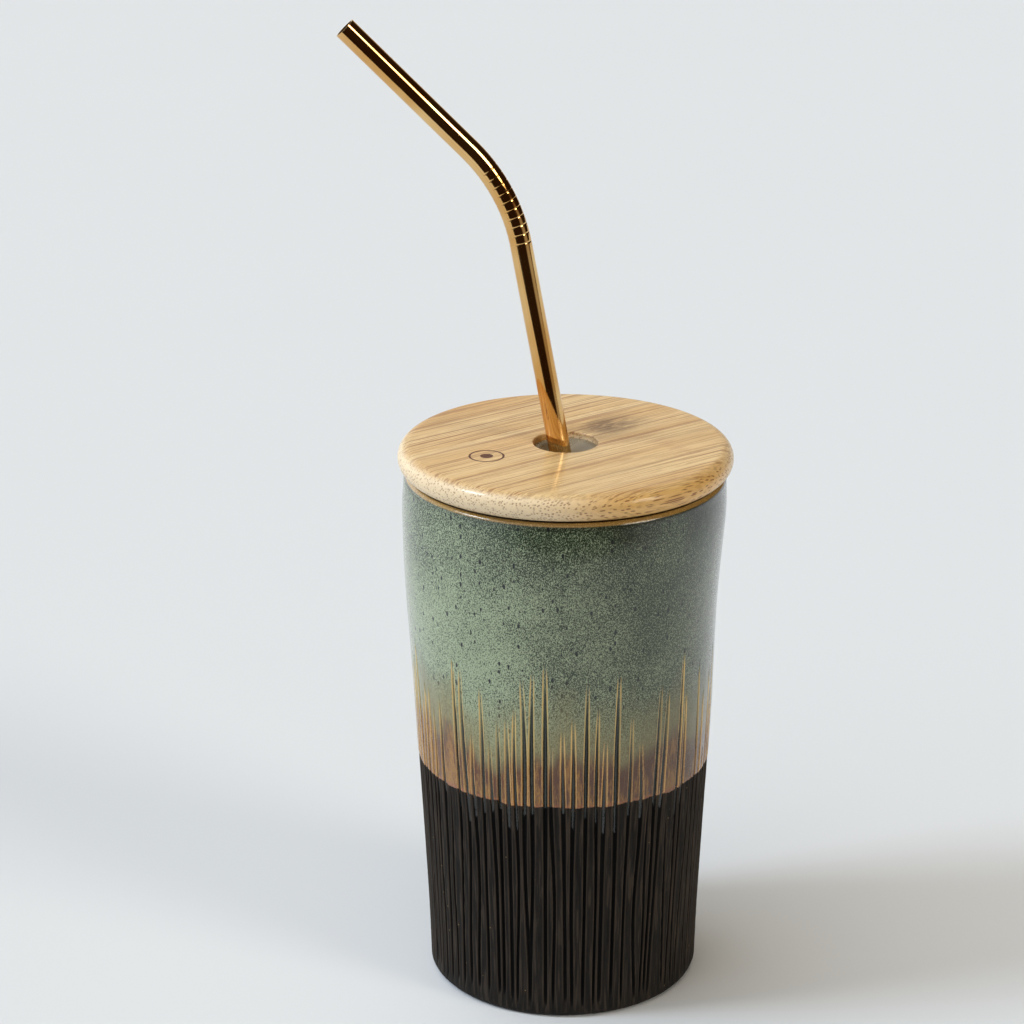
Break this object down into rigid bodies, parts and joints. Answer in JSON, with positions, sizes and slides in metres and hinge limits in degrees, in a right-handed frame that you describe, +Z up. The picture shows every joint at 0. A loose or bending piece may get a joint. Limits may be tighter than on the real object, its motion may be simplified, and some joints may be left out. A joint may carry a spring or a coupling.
{
  "type": "stoneware tumbler with bamboo lid and straw",
  "caption": "Tall flared stoneware tumbler, glazed above and carved with vertical lines below, with a round bamboo lid, a silicone seal and a bent metal straw.",
  "frame": {"origin": "centre of the cup's flat base, on the surface it stands on", "axes": "+Z up along the cup's axis; the straw leans and bends towards -X, in the XZ plane; -Y is the front"},
  "size_m": [0.1058, 0.092, 0.2723],
  "materials": {
    "glazed_stoneware": "speckled grey-green satin glaze over bare dark brown stoneware",
    "bamboo": "sanded and oiled bamboo, soft gloss",
    "bamboo_cross_ply": "sanded bamboo, matte",
    "seal_silicone": "smooth translucent silicone",
    "clear_silicone": "clear glossy silicone",
    "gold_steel": "polished gold-coloured stainless steel"
  },
  "bodies": {
    "cup": {"cup": "glazed_stoneware"},
    "seal": {"seal_ring": "seal_silicone"},
    "lid": {"lid_disc": "bamboo", "lid_plug": "bamboo_cross_ply"},
    "grommet": {"straw_grommet": "clear_silicone"},
    "straw": {"straw": "gold_steel"}
  },
  "joints": [
    {"name": "lid_lift", "type": "slide", "parent": "cup", "child": "seal", "axis": [0, 0, 1], "range_m": [0, 0.165]},
    {"name": "lid_turn", "type": "hinge", "parent": "seal", "child": "lid", "pos_m": [0, 0, 0.1496], "axis": [0, 0, 1], "continuous": true},
    {"name": "straw_swing", "type": "hinge", "parent": "lid", "child": "grommet", "pos_m": [0, 0, 0.1496], "axis": [0, 0, 1], "continuous": true},
    {"name": "straw_slide", "type": "slide", "parent": "grommet", "child": "straw", "axis": [-0.1814, 0, 0.9834], "range_m": [-0.017, 0.135]}
  ]
}
